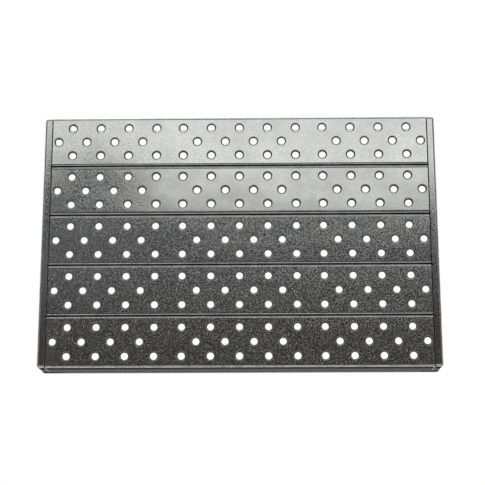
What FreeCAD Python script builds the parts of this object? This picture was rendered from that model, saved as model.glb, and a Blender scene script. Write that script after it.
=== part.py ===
"""Short perforated steel scaffold plank, modelled in millimetres.

Five shallow folded planks lie side by side and run along X. The two outer planks
have a deep skirt on their outer side. All five stand on two cross bearers that span
from skirt to skirt, and a short rib inside each plank, over each bearer, carries the
walking face. Both ends stand in a pressed end cap. Weld beads join the pieces.

The origin is the centre of the footprint on the bearing plane. X runs along the
planks, Y across them, and +Z up to the walking face.
"""

import FreeCAD
import Part

import math
import os

# ---- driving dimensions, mm ----
deck_length = 496.0
deck_height = 45.0

plank_count = 5
plank_width = 63.4
plank_depth = 20.0
plank_gap = 0.75
plank_sheet = 1.5
plank_inside_bend = 1.0
plank_end_gap = 1.5
tongue_bottom = 2.0
tongue_top = 5.0
tongue_clearance = 0.2

hole_bore = 8.6
dimple_flare = 1.65
dimple_depth = 1.65
collar_drop = 1.2
collar_foot = 1.35
collar_rim = 0.9
hole_pitch = 35.6
hole_edge_inset = 13.7
hole_end_land = 1.2
hole_group_gap = 33.9
middle_bay_holes = 5

rib_sheet = 1.5
rib_inside_bend = 1.5
rib_crown = 12.0
rib_side_clearance = 0.3

bearer_sheet = 2.0
bearer_inside_bend = 1.0
bearer_width = 20.0
bearer_clearance = 0.3

cap_sheet = 2.0
cap_inside_bend = 1.5
cap_ledge = 9.2
cap_foot = 7.0

bead_leg = 1.8
bead_end_inset = 4.0
rib_bead = 20.0
butt_recess = 0.1

# ---- derived sizes ----
plank_pitch = plank_width + plank_gap
deck_width = plank_count * plank_width + (plank_count - 1) * plank_gap
face_length = deck_length - 2 * (cap_ledge + plank_end_gap)
plank_foot = deck_height - plank_depth
ceiling = deck_height - plank_sheet
web_inside = deck_length / 2 - cap_sheet

dimple_rim = hole_bore / 2 + dimple_flare
collar_top = hole_bore / 2 + collar_rim + collar_foot
hole_row_spacing = plank_width / 2 - hole_edge_inset

plank_centres = [(i - (plank_count - 1) / 2) * plank_pitch for i in range(plank_count)]
rib_spacing = (middle_bay_holes - 1) * hole_pitch + hole_group_gap
rib_centres = {"left": -rib_spacing / 2, "right": rib_spacing / 2}
rib_length = plank_width - 2 * (plank_sheet + plank_inside_bend + rib_side_clearance)
bearer_length = deck_width - 2 * (plank_sheet + bearer_clearance)
bearer_flat = bearer_width - 2 * (bearer_sheet + bearer_inside_bend)
overlap = 1.0


def unit(vector):
    return vector * (1.0 / vector.Length)


def rounded_path(points, radii):
    """Edges through the points, with each inner corner replaced by a tangent arc."""
    edges = []
    start = points[0]
    for before, corner, after, radius in zip(points, points[1:], points[2:], radii):
        back, on = unit(before - corner), unit(after - corner)
        half = math.acos(max(-1.0, min(1.0, back.dot(on)))) / 2
        reach = radius / math.tan(half)
        centre = corner + unit(back + on) * (radius / math.sin(half))
        entry, leave = corner + back * reach, corner + on * reach
        middle = centre + unit(corner - centre) * radius
        edges.append(Part.LineSegment(start, entry).toShape())
        edges.append(Part.Arc(entry, middle, leave).toShape())
        start = leave
    edges.append(Part.LineSegment(start, points[-1]).toShape())
    return edges


def folded_section(points, sheet, inside_bend, up):
    """Face of a folded sheet. The points are one skin, and the sheet lies on its right.

    Right is measured looking against the vector up, which is normal to the section.
    """
    runs = [unit(b - a) for a, b in zip(points, points[1:])]
    rights = [run.cross(up) for run in runs]
    other = [points[0] + rights[0] * sheet]
    near_radii, far_radii = [], []
    for corner, first, second, run, following in zip(points[1:], rights, rights[1:], runs, runs[1:]):
        other.append(corner + (first + second) * (sheet / (1 + first.dot(second))))
        turns_left = run.cross(following).dot(up) > 0
        near_radii.append(inside_bend if turns_left else inside_bend + sheet)
        far_radii.append(inside_bend + sheet if turns_left else inside_bend)
    other.append(points[-1] + rights[-1] * sheet)
    edges = rounded_path(points, near_radii)
    edges.append(Part.LineSegment(points[-1], other[-1]).toShape())
    edges += rounded_path(other[::-1], far_radii[::-1])
    edges.append(Part.LineSegment(other[0], points[0]).toShape())
    return Part.Face(Part.Wire(Part.__sortEdges__(edges)))


def turned(outline, x, y, z):
    """Solid turned about Z from (radius, height) points, placed at x, y, z."""
    corners = [FreeCAD.Vector(radius, 0, height) for radius, height in outline]
    face = Part.Face(Part.makePolygon(corners + corners[:1]))
    solid = face.revolve(FreeCAD.Vector(0, 0, 0), FreeCAD.Vector(0, 0, 1), 360)
    solid.translate(FreeCAD.Vector(x, y, z))
    return solid


def hole_places():
    """(x, y) of every perforation, from the plank's own centre.

    Each bay starts half a group gap from its rib. The middle row is half a pitch on.
    """
    last = face_length / 2 - dimple_rim - hole_end_land
    first = rib_spacing / 2 + hole_group_gap / 2
    inner = rib_spacing / 2 - hole_group_gap / 2
    outer_row = [inner - i * hole_pitch for i in range(middle_bay_holes)]
    middle_row = [x - hole_pitch / 2 for x in outer_row[:-1]]
    steps = range(int(max(0.0, last - first) / hole_pitch) + 1)
    for sign in (-1, 1):
        outer_row += [sign * (first + i * hole_pitch) for i in steps]
        halfway = [first + (i + 0.5) * hole_pitch for i in steps]
        middle_row += [sign * x for x in halfway if x <= last]
    rows = ((-hole_row_spacing, outer_row), (0.0, middle_row), (hole_row_spacing, outer_row))
    return [(x, y) for y, row in rows for x in sorted(row)]


def dimple_collar(x, y):
    """Metal drawn down around one perforation, reaching up into the sheet."""
    bottom = ceiling - collar_drop
    foot = hole_bore / 2 + collar_rim
    slope = collar_foot / collar_drop
    height = collar_drop + plank_sheet / 3
    place = FreeCAD.Vector(x, y, bottom)
    return Part.makeCone(foot, foot + slope * height, height, place)


def dimple_cut(x, y):
    """The bore of one perforation, with its conical mouth."""
    bore = hole_bore / 2
    slope = dimple_flare / dimple_depth
    low = -plank_sheet - collar_drop - overlap
    outline = [
        (0, low),
        (bore, low),
        (bore, -dimple_depth),
        (dimple_rim + slope * overlap, overlap),
        (0, overlap),
    ]
    return turned(outline, x, y, deck_height)


def plank_section(front_foot, back_foot):
    """Section of one plank, with the height at which each of its two flanges ends."""
    side = plank_width / 2
    skin = [(side, back_foot), (side, deck_height), (-side, deck_height), (-side, front_foot)]
    points = [FreeCAD.Vector(-face_length / 2, y, z) for y, z in skin]
    return folded_section(points, plank_sheet, plank_inside_bend, FreeCAD.Vector(-1, 0, 0))


def flange_tongues(side):
    """Ends of one shallow flange, which reach past the walking face to the end caps."""
    bottom, top = plank_foot + tongue_bottom, deck_height - tongue_top
    start, end = face_length / 2 - overlap, web_inside - tongue_clearance
    inner = plank_width / 2 - plank_sheet
    low_y = inner if side > 0 else -inner - plank_sheet
    return [
        Part.makeBox(end - start, plank_sheet, top - bottom, FreeCAD.Vector(x, low_y, bottom))
        for x in (start, -end)
    ]


def deck_plank(front_foot, back_foot):
    """One folded plank, with its walking face up. A flange that reaches the ground is a skirt."""
    plank = plank_section(front_foot, back_foot).extrude(FreeCAD.Vector(face_length, 0, 0))
    for side, foot in ((-1, front_foot), (1, back_foot)):
        if foot > 0:
            plank = plank.multiFuse(flange_tongues(side))
    plank = plank.removeSplitter()
    places = hole_places()
    plank = plank.multiFuse([dimple_collar(x, y) for x, y in places])
    return plank.cut(Part.makeCompound([dimple_cut(x, y) for x, y in places]))


def open_box(width, low, high, length, sheet, inside_bend):
    """Folded section that is open below and runs along Y: two legs and the web above them."""
    half = width / 2
    skin = [(-half, low), (-half, high), (half, high), (half, low)]
    points = [FreeCAD.Vector(x, -length / 2, z) for x, z in skin]
    across = FreeCAD.Vector(0, 1, 0)
    return folded_section(points, sheet, inside_bend, across * -1).extrude(across * length)


def stiffening_rib():
    """Short rib that stands on the bearer and carries the walking face of one plank."""
    return open_box(rib_crown, plank_foot, ceiling, rib_length, rib_sheet, rib_inside_bend)


def cross_bearer():
    """Bearer that spans from skirt to skirt and carries the flanges of all planks."""
    return open_box(bearer_width, 0, plank_foot, bearer_length, bearer_sheet, bearer_inside_bend)


def pressed_block(depth, width, bottom, top, bend):
    """Block from the cap's open side to its web, rounded everywhere but on the open side."""
    start = deck_length / 2 - cap_ledge
    block = Part.makeBox(depth, width, top - bottom, FreeCAD.Vector(start, -width / 2, bottom))
    rounded = [e for e in block.Edges if e.BoundBox.XMax > start + depth / 2]
    return block.makeFillet(bend, rounded)


def end_cap():
    """Pressed cap of the right-hand end: web, ledge, two side returns and a narrow foot."""
    outside_bend = cap_inside_bend + cap_sheet
    shell = pressed_block(cap_ledge, deck_width, 0, deck_height, outside_bend)
    inner_width = deck_width - 2 * cap_sheet
    inner_top = deck_height - cap_sheet
    hollow = pressed_block(cap_ledge - cap_sheet, inner_width, cap_sheet, inner_top, cap_inside_bend)
    start = deck_length / 2 - cap_ledge - overlap / 2
    mouth = Part.makeBox(
        overlap,
        inner_width - 2 * cap_inside_bend,
        inner_top - cap_sheet - 2 * cap_inside_bend,
        FreeCAD.Vector(start, cap_inside_bend - inner_width / 2, cap_sheet + cap_inside_bend),
    )
    foot_width = deck_width - 2 * outside_bend
    relief = Part.makeBox(
        deck_length / 2 - cap_foot - start,
        foot_width,
        cap_sheet + 2 * overlap,
        FreeCAD.Vector(start, -foot_width / 2, -overlap),
    )
    return shell.cut(hollow.fuse(mouth)).cut(relief).removeSplitter()


def bead(corner, first, second, along):
    """Fillet weld with a triangular section: two legs from its corner, and its run."""
    points = [corner, corner + first, corner + second, corner]
    return Part.Face(Part.makePolygon(points)).extrude(along)


def bearer_welds():
    """Beads on one bearer: along every shallow flange, at every rib, and at both skirts."""
    beads = []
    up = FreeCAD.Vector(0, 0, bead_leg)
    flat = bearer_flat - overlap
    for number, centre in enumerate(plank_centres):
        for side in (-1, 1):
            edge = centre + side * (plank_width / 2 - plank_sheet)
            if abs(edge) < deck_width / 2 - 2 * plank_sheet:
                corner = FreeCAD.Vector(-flat / 2, edge, plank_foot)
                beads.append(bead(corner, FreeCAD.Vector(0, -side * bead_leg, 0), up, FreeCAD.Vector(flat, 0, 0)))
            corner = FreeCAD.Vector(side * rib_crown / 2, centre - rib_bead / 2, plank_foot)
            beads.append(bead(corner, FreeCAD.Vector(side * bead_leg, 0, 0), up, FreeCAD.Vector(0, rib_bead, 0)))
    rise = FreeCAD.Vector(0, 0, plank_foot - 2 * bead_end_inset)
    for x in (-1, 1):
        for y in (-1, 1):
            corner = FreeCAD.Vector(x * bearer_width / 2, y * (deck_width / 2 - plank_sheet), bead_end_inset)
            reach = FreeCAD.Vector(0, -y * (bead_leg + bearer_clearance), 0)
            beads.append(bead(corner, FreeCAD.Vector(x * bead_leg, 0, 0), reach, rise))
    return Part.makeCompound(beads)


def cap_welds():
    """Beads in the right-hand cap: behind every tongue, and the butt seams to both skirts."""
    beads = []
    low = plank_foot + tongue_bottom + overlap
    rise = FreeCAD.Vector(0, 0, deck_height - tongue_top - overlap - low)
    back = FreeCAD.Vector(-(bead_leg + tongue_clearance), 0, 0)
    for centre in plank_centres:
        for side in (-1, 1):
            edge = centre + side * (plank_width / 2 - plank_sheet)
            if abs(edge) < deck_width / 2 - 2 * plank_sheet:
                corner = FreeCAD.Vector(web_inside, edge, low)
                beads.append(bead(corner, back, FreeCAD.Vector(0, -side * bead_leg, 0), rise))
    seam_low, seam_high = bead_end_inset + overlap, deck_height - tongue_top - overlap
    for low_y in (-deck_width / 2 + butt_recess, deck_width / 2 - plank_sheet):
        place = FreeCAD.Vector(face_length / 2, low_y, seam_low)
        beads.append(Part.makeBox(plank_end_gap, plank_sheet - butt_recess, seam_high - seam_low, place))
    return Part.makeCompound(beads)


def moved(shape, x, y):
    """Copy of a shape, shifted in the plane of the deck."""
    copy = shape.copy()
    copy.translate(FreeCAD.Vector(x, y, 0))
    return copy


def half_turn(shape):
    """Copy of a shape, turned to the other end of the deck."""
    copy = shape.copy()
    copy.rotate(FreeCAD.Vector(0, 0, 0), FreeCAD.Vector(0, 0, 1), 180)
    return copy


def build():
    """Every node of the plank, by name."""
    nodes = {}
    inner_plank = deck_plank(plank_foot, plank_foot)
    outer_plank = deck_plank(0, plank_foot)
    rib = stiffening_rib()
    bearer = cross_bearer()
    welds = bearer_welds()
    cap = end_cap()
    seams = cap_welds()

    for number, y in enumerate(plank_centres, start=1):
        plank = inner_plank
        if number == 1:
            plank = outer_plank
        elif number == plank_count:
            plank = half_turn(outer_plank)
        nodes[f"deck_plank_{number}"] = moved(plank, 0, y)
        for side, x in rib_centres.items():
            nodes[f"stiffening_rib_{side}_{number}"] = moved(rib, x, y)

    nodes["end_cap_right"] = cap
    nodes["end_cap_left"] = half_turn(cap)
    nodes["cap_welds_right"] = seams
    nodes["cap_welds_left"] = half_turn(seams)
    for side, x in rib_centres.items():
        nodes[f"cross_bearer_{side}"] = moved(bearer, x, 0)
        nodes[f"bearer_welds_{side}"] = moved(welds, x, 0)
    return nodes


os.makedirs("parts", exist_ok=True)
for name, shape in build().items():
    shape.exportStep(f"parts/{name}.step")
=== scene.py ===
"""Looks of a short perforated steel scaffold plank, built around its fixed frame.

Every length is in metres. X runs along the planks, Y across them, and Z up.
"""

import math

import bmesh
import bpy
from bpy.props import FloatProperty, FloatVectorProperty, IntProperty, PointerProperty
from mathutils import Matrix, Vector


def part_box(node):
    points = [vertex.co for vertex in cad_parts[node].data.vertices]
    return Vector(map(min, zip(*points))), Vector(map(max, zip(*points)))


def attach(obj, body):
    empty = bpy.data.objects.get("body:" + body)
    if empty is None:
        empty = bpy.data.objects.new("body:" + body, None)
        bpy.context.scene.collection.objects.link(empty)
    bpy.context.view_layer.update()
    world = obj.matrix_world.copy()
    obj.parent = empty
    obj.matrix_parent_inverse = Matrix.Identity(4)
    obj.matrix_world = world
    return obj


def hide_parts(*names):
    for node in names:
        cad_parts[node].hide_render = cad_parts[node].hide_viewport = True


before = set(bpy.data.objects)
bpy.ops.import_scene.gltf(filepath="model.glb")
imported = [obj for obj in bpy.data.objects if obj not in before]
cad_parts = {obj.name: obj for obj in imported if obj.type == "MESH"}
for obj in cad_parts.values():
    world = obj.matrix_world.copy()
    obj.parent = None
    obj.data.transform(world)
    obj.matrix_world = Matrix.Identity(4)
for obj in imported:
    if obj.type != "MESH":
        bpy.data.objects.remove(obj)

bl_info = {
    "name": "Perforated scaffold plank",
    "version": (1, 0, 0),
    "blender": (4, 5, 0),
    "location": "3D View > Sidebar > Scaffold",
    "description": "Builds the folded planks, ribs, bearers, end caps and welds of a short steel deck",
    "category": "Object",
}

BODY = "root"
ENDS = {"left": -1, "right": 1}
WELD = 2e-6


# ---------------------------------------------------------------- frame sizes


def plank_nodes():
    """Names of the plank nodes, from the front of the deck to the back."""
    return sorted(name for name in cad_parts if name.startswith("deck_plank_"))


def middle(node):
    """Centre of one node's box."""
    low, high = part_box(node)
    return (low + high) / 2


def span(node):
    """Size of one node's box."""
    low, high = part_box(node)
    return high - low


PLANKS = plank_nodes()
PLANK = span(PLANKS[2])
PLANK_PITCH = middle(PLANKS[1]).y - middle(PLANKS[0]).y
PLANK_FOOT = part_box(PLANKS[2])[0].z
TONGUE_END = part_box(PLANKS[2])[1].x
SKIRT_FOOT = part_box(PLANKS[0])[0].z
DECK_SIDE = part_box(PLANKS[-1])[1].y
DECK_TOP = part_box(PLANKS[0])[1].z
RIB = span("stiffening_rib_right_1")
RIB_PLACE = middle("stiffening_rib_right_1").x
BEARER = span("cross_bearer_right")
CAP_LOW, CAP_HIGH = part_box("end_cap_right")


# ------------------------------------------------------------------ settings


def length(name, description, default):
    """A length that the sidebar shows with its unit."""
    form = {"min": 0.0, "precision": 5, "subtype": "DISTANCE", "unit": "LENGTH"}
    return FloatProperty(name=name, description=description, default=default, **form)


def colour(name, description, default):
    """A linear colour without alpha."""
    return FloatVectorProperty(
        name=name, description=description, default=default, min=0.0, max=1.0, size=3, subtype="COLOR"
    )


def number(name, description, default):
    """A plain number."""
    return FloatProperty(name=name, description=description, default=default, precision=4)


class ScaffoldSheetSizes(bpy.types.PropertyGroup):
    """Sizes of the folded sheet pieces."""

    plank_sheet: length("Plank sheet", "Thickness of the plank sheet", 0.0015)
    plank_bend: length("Plank inside bend", "Inside radius of the plank's folds", 0.001)
    plank_end_gap: length("Plank end gap", "Gap between the walking face and the end cap", 0.0015)
    tongue_bottom: length("Tongue bottom", "Height of a tongue above the flange's foot", 0.002)
    tongue_top: length("Tongue top", "Depth of a tongue below the walking face", 0.005)
    rib_sheet: length("Rib sheet", "Thickness of the rib sheet", 0.0015)
    rib_bend: length("Rib inside bend", "Inside radius of the rib's folds", 0.0015)
    bearer_sheet: length("Bearer sheet", "Thickness of the bearer sheet", 0.002)
    bearer_bend: length("Bearer inside bend", "Inside radius of the bearer's folds", 0.001)
    cap_sheet: length("Cap sheet", "Thickness of the cap sheet", 0.002)
    cap_bend: length("Cap inside bend", "Inside radius of the cap's pressed edges", 0.0015)
    cap_foot: length("Cap foot", "Width of the cap's foot", 0.007)


class ScaffoldHoleSizes(bpy.types.PropertyGroup):
    """Sizes and pattern of the dimpled drain holes."""

    bore: length("Bore", "Diameter of the clear hole", 0.0086)
    flare: length("Flare", "Width of the conical mouth", 0.00165)
    depth: length("Mouth depth", "Depth of the conical mouth", 0.00165)
    drop: length("Collar drop", "How far the drawn collar hangs below the sheet", 0.0012)
    collar_wall: length("Collar wall", "Metal around the bore at the bottom of the collar", 0.0009)
    collar_foot: length("Collar foot", "Extra radius of the collar where it meets the sheet", 0.00135)
    pitch: length("Pitch", "Hole pitch along a row", 0.0356)
    row_spacing: length("Row spacing", "Distance between the rows of holes", 0.018)
    group_gap: length("Group gap", "Distance between two holes across a rib", 0.0339)
    end_land: length("End land", "Least metal between a mouth and the plank's end", 0.0012)
    middle_holes: IntProperty(name="Middle bay", description="Outer holes between the ribs", default=5, min=2)
    segments: IntProperty(name="Segments", description="Sides of each round hole", default=24, min=8)


class ScaffoldWeldSizes(bpy.types.PropertyGroup):
    """Sizes of the weld beads."""

    leg: length("Leg", "Leg of each fillet bead", 0.0018)
    end_inset: length("End inset", "How far an upright bead stops short of the sheet's edge", 0.004)
    rib_bead: length("Rib bead", "Length of the beads along a rib", 0.020)
    flange_bead: length("Flange bead", "Length of the beads along a flange", 0.013)
    ripple: length("Ripple", "Spacing of the ripples in a bead", 0.0016)


class ScaffoldFinish(bpy.types.PropertyGroup):
    """Colours of the galvanised steel."""

    zinc: colour("Zinc", "Colour of clean galvanised sheet", (0.60, 0.61, 0.62))
    zinc_dull: colour("Dull zinc", "Colour of weathered galvanised sheet", (0.50, 0.51, 0.52))
    weld: colour("Weld", "Colour of the zinc over the weld beads", (0.42, 0.43, 0.44))
    worn: colour("Worn zinc", "Colour of the zinc where bends are rubbed", (0.72, 0.72, 0.71))
    # Near-black tone of the grime and painted shade in the joints, on the cut ends and inside the folds.
    grime_and_shade_tone: colour("Grime and painted shade", "Colour of the dust in joints and folds", (0.05, 0.048, 0.045))
    grain: length("Grain", "Size of the fine grain of the zinc", 0.0016)


class ScaffoldStage(bpy.types.PropertyGroup):
    """Floor, lights and camera."""

    glow: number("Glow", "Brightness of the floor under the deck, as the steel sees it", 1.6)
    lens: FloatProperty(name="Lens", description="Focal length of the camera in millimetres", default=92.04)
    eye: FloatVectorProperty(
        name="Eye",
        description="Place of the camera",
        default=(0.0267, -0.3719, 1.5443),
        subtype="TRANSLATION",
    )
    gaze: FloatVectorProperty(
        name="Gaze",
        description="Rotation of the camera",
        default=(math.radians(13.773), math.radians(0.896), math.radians(-0.087)),
        subtype="EULER",
    )


def settings(name):
    """One of the property groups, as the scene holds it."""
    return getattr(bpy.context.scene, name)


# ------------------------------------------------------- outlines and meshes


def rounded(points, radii, steps):
    """The points of a flat path, with each inner corner replaced by an arc of the given radius."""
    path = [Vector(points[0])]
    for before, corner, after, radius in zip(points, points[1:], points[2:], radii):
        before, corner, after = Vector(before), Vector(corner), Vector(after)
        back, on = (before - corner).normalized(), (after - corner).normalized()
        half = back.angle(on) / 2
        centre = corner + (back + on).normalized() * radius / math.sin(half)
        entry = corner + back * radius / math.tan(half) - centre
        leave = corner + on * radius / math.tan(half) - centre
        turn = entry.angle(leave)
        for i in range(steps + 1):
            part = i / steps
            blend = entry * math.sin((1 - part) * turn) + leave * math.sin(part * turn)
            path.append(centre + blend / math.sin(turn))
    path.append(Vector(points[-1]))
    return path


def folded_outline(skin, sheet, inside_bend, steps):
    """Closed outline of a folded sheet that lies on the right of its skin."""
    skin = [Vector(p) for p in skin]
    runs = [(b - a).normalized() for a, b in zip(skin, skin[1:])]
    rights = [Vector((run.y, -run.x)) for run in runs]
    other = [skin[0] + rights[0] * sheet]
    near, far = [], []
    for corner, first, second, run, following in zip(skin[1:], rights, rights[1:], runs, runs[1:]):
        other.append(corner + (first + second) * sheet / (1 + first.dot(second)))
        turns_left = run.cross(following) > 0
        near.append(inside_bend if turns_left else inside_bend + sheet)
        far.append(inside_bend + sheet if turns_left else inside_bend)
    other.append(skin[-1] + rights[-1] * sheet)
    return rounded(skin, near, steps) + rounded(other, far, steps)[::-1]


def add_turned(bm, profile, segments):
    """Adds a shape turned about Z from (radius, height) points to a bmesh and returns its points."""
    angles = [2 * math.pi * i / segments for i in range(segments)]
    rings = []
    for radius, height in profile:
        rings.append([bm.verts.new((radius * math.cos(a), radius * math.sin(a), height)) for a in angles])
    for low, high in zip(rings, rings[1:]):
        for i in range(segments):
            j = (i + 1) % segments
            bm.faces.new([low[i], low[j], high[j], high[i]])
    return [vertex for ring in rings for vertex in ring]


def add_loft(bm, rings):
    """Adds the closed skin of a row of rings, each a list of places, to a bmesh."""
    rings = [[bm.verts.new(place) for place in ring] for ring in rings]
    faces = [bm.faces.new(rings[0]), bm.faces.new(rings[-1][::-1])]
    for low, high in zip(rings, rings[1:]):
        for i in range(len(low)):
            j = (i + 1) % len(low)
            faces.append(bm.faces.new([low[j], low[i], high[i], high[j]]))
    bmesh.ops.recalc_face_normals(bm, faces=faces)


def mesh_from(bm, name):
    """Turns a bmesh into a mesh."""
    mesh = bpy.data.meshes.new(name)
    bm.to_mesh(mesh)
    bm.free()
    return mesh


def object_from(mesh, name):
    """Links a mesh to the scene as an object at the origin."""
    made = bpy.data.objects.new(name, mesh)
    bpy.context.scene.collection.objects.link(made)
    return made


def baked(source, name):
    """Plain mesh object of everything that the source's modifiers make. The source is removed."""
    bpy.context.view_layer.update()
    depsgraph = bpy.context.evaluated_depsgraph_get()
    mesh = bpy.data.meshes.new_from_object(source.evaluated_get(depsgraph), depsgraph=depsgraph)
    bpy.data.objects.remove(source)
    mesh.name = name
    return object_from(mesh, name)


def keep_flats_flat(piece):
    """Adds the modifier that lets bends shade round and leaves flat faces flat."""
    normals = piece.modifiers.new("flats", "WEIGHTED_NORMAL")
    normals.keep_sharp = True
    normals.weight = 100


def finish_piece(piece, slot, *nodes):
    """Hands a finished piece to the frame, in place of the nodes that it shows."""
    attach(piece, BODY)
    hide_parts(*nodes)


# ------------------------------------------------------------ node shorthand


class Graph:
    """Adds nodes to a node tree. A node given as a value stands for its first output."""

    def __init__(self, tree):
        self.tree = tree

    def add(self, kind, inputs=None, **options):
        """Adds one node, with its options and its inputs by name or number."""
        node = self.tree.nodes.new(kind)
        for option, value in options.items():
            setattr(node, option, value)
        for key, value in (inputs or {}).items():
            self.join(value, node.inputs[key])
        return node

    def join(self, value, socket):
        """Links a node or socket to a socket, or sets the socket to a plain value."""
        if isinstance(value, list):
            for one in value:
                self.join(one, socket)
        elif isinstance(value, bpy.types.Node):
            self.tree.links.new(value.outputs[0], socket)
        elif isinstance(value, bpy.types.NodeSocket):
            self.tree.links.new(value, socket)
        else:
            socket.default_value = value

    def math(self, operation, first, second=0.0, third=0.0):
        """Adds one Math node."""
        return self.add("ShaderNodeMath", {0: first, 1: second, 2: third}, operation=operation)

    def plus(self, first, *others):
        """Sum of the values."""
        for other in others:
            first = self.math("ADD", first, other)
        return first

    def minus(self, first, second):
        """The first value less the second."""
        return self.math("SUBTRACT", first, second)

    def times(self, first, *others):
        """Product of the values."""
        for other in others:
            first = self.math("MULTIPLY", first, other)
        return first

    def scaled(self, value, factor, start):
        """The value times the factor, added to the start."""
        return self.math("MULTIPLY_ADD", value, factor, start)

    def size(self, value):
        """The value without its sign."""
        return self.math("ABSOLUTE", value)

    def over(self, value, limit):
        """1 where the value is over the limit, and 0 elsewhere."""
        return self.math("GREATER_THAN", value, limit)

    def under(self, value, limit):
        """1 where the value is under the limit, and 0 elsewhere."""
        return self.math("LESS_THAN", value, limit)

    def vector(self, x=0.0, y=0.0, z=0.0):
        """Adds one Combine XYZ node."""
        return self.add("ShaderNodeCombineXYZ", {"X": x, "Y": y, "Z": z})

    def split(self, vector):
        """The three parts of a vector, as sockets."""
        node = self.add("ShaderNodeSeparateXYZ", {0: vector})
        return [node.outputs[axis] for axis in "XYZ"]

    def place(self):
        """Socket of the object's own coordinates."""
        return self.add("ShaderNodeTexCoord").outputs["Object"]

    def noise(self, place, **inputs):
        """Adds one Noise Texture node."""
        return self.add("ShaderNodeTexNoise", {"Vector": place, **inputs})

    def remap(self, value, low, high, start=0.0, end=1.0, **options):
        """Adds one Map Range node, from low and high to start and end."""
        inputs = {"Value": value, "From Min": low, "From Max": high, "To Min": start, "To Max": end}
        return self.add("ShaderNodeMapRange", inputs, **options)

    def mix(self, share, first, second):
        """Socket of the mix of two colours."""
        return self.add("ShaderNodeMix", {0: share, 6: first, 7: second}, data_type="RGBA").outputs[2]

    def merge(self, *pieces):
        """Joins geometries."""
        return self.add("GeometryNodeJoinGeometry", {"Geometry": list(pieces)})

    def move(self, geometry, shift):
        """Shifts a geometry."""
        return self.add("GeometryNodeTransform", {"Geometry": geometry, "Translation": shift})

    def flip(self, mesh):
        """Turns a mesh's faces over."""
        return self.add("GeometryNodeFlipFaces", {"Mesh": mesh})

    def copies(self, points, instance):
        """Places an instance on every point."""
        return self.add("GeometryNodeInstanceOnPoints", {"Points": points, "Instance": instance})


SOCKETS = {
    "geometry": "NodeSocketGeometry",
    "float": "NodeSocketFloat",
    "int": "NodeSocketInt",
    "material": "NodeSocketMaterial",
    "color": "NodeSocketColor",
}


def floats(*labels):
    """Named sockets that each hold a number."""
    return dict.fromkeys(labels, "float")


def new_tree(name, kind, inputs, outputs):
    """An empty node tree, its graph, the sockets of what it is given, and those of what it makes."""
    tree = bpy.data.node_groups.new(name, kind)
    for direction, sockets in (("INPUT", inputs), ("OUTPUT", outputs)):
        for label, form in sockets.items():
            tree.interface.new_socket(name=label, in_out=direction, socket_type=SOCKETS[form])
    graph = Graph(tree)
    return tree, graph, graph.add("NodeGroupInput").outputs, graph.add("NodeGroupOutput").inputs


def modifier_tree(name, inputs):
    """An empty Geometry Nodes tree that is given a geometry, its own inputs and a material."""
    inputs = {"Geometry": "geometry", **inputs, "Material": "material"}
    made = new_tree(name, "GeometryNodeTree", inputs, {"Geometry": "geometry"})
    made[0].is_modifier = True
    return made


def group(name, build):
    """A shared node tree, built the first time that it is asked for."""
    return bpy.data.node_groups.get(name) or build()


def run_tree(piece, tree, values):
    """Adds a Geometry Nodes modifier and sets its inputs by their identifiers."""
    modifier = piece.modifiers.new(tree.name, "NODES")
    modifier.node_group = tree
    for item in tree.interface.items_tree:
        if item.in_out == "INPUT" and item.name in values:
            modifier[item.identifier] = values[item.name]


# ------------------------------------------------------------ geometry trees


# An edge that turns by more than SHARP stays sharp, a face whose normal has a Z over LEVEL is level,
# and two places closer than TOUCH are the same.
SHARP = math.radians(38)
LEVEL = 0.9995
TOUCH = 0.0001


def shade_edges(graph, geometry):
    """Smooth shading, with sharp edges kept sharp."""
    inputs = {"Geometry": geometry, "Shade Smooth": True}
    smooth = graph.add("GeometryNodeSetShadeSmooth", inputs, domain="FACE")
    sharp = graph.over(graph.add("GeometryNodeInputMeshEdgeAngle"), SHARP)
    inputs = {"Geometry": smooth, "Selection": sharp, "Shade Smooth": False}
    return graph.add("GeometryNodeSetShadeSmooth", inputs, domain="EDGE")


def close_tree(graph, geometry, given, made):
    """Ends a tree in Realize Instances, Merge by Distance and Set Material."""
    real = graph.add("GeometryNodeRealizeInstances", {"Geometry": geometry})
    merged = graph.add("GeometryNodeMergeByDistance", {"Geometry": real, "Distance": WELD})
    real = graph.add("GeometryNodeRealizeInstances", {"Geometry": shade_edges(graph, merged)})
    painted = graph.add("GeometryNodeSetMaterial", {"Geometry": real, "Material": given["Material"]})
    graph.join(painted, made["Geometry"])


def hole_row(graph, given, first, middle_count, end_count, shift):
    """Points of one row at Y = 0: the middle bay, and an end bay on each side."""
    pitch = given["Hole Pitch"]
    reach = graph.times(graph.minus(middle_count, 1.0), graph.times(pitch, 0.5))
    along, back = graph.vector(pitch), graph.vector(graph.times(pitch, -1.0))
    far = graph.plus(first, shift)
    bays = (
        (middle_count, graph.times(reach, -1.0), along),
        (end_count, far, along),
        (end_count, graph.times(far, -1.0), back),
    )
    lines = []
    for count, start, step in bays:
        inputs = {"Count": count, "Start Location": graph.vector(start), "Offset": step}
        lines.append(graph.add("GeometryNodeMeshLine", inputs))
    return graph.merge(*lines)


def hole_lattice(graph, given):
    """Points of every hole in one plank, from the pitch, the group gap and the plank's length."""
    pitch = given["Hole Pitch"]
    half_pitch = graph.times(pitch, 0.5)
    fewer = graph.minus(given["Middle Holes"], 1.0)
    first = graph.plus(graph.times(fewer, half_pitch), given["Group Gap"])
    limit = graph.minus(graph.times(given["Length"], 0.5), given["Mouth Radius"])
    last = graph.minus(limit, given["End Land"])

    def count(shift):
        room = graph.minus(last, graph.plus(first, shift))
        return graph.plus(graph.math("FLOOR", graph.math("DIVIDE", room, pitch)), 1.0)

    outer = hole_row(graph, given, first, given["Middle Holes"], count(0.0), 0.0)
    rows = [hole_row(graph, given, first, fewer, count(half_pitch), half_pitch)]
    for side in (-1.0, 1.0):
        rows.append(graph.move(outer, graph.vector(0.0, graph.times(given["Row Spacing"], side))))
    return graph.merge(*rows)


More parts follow.
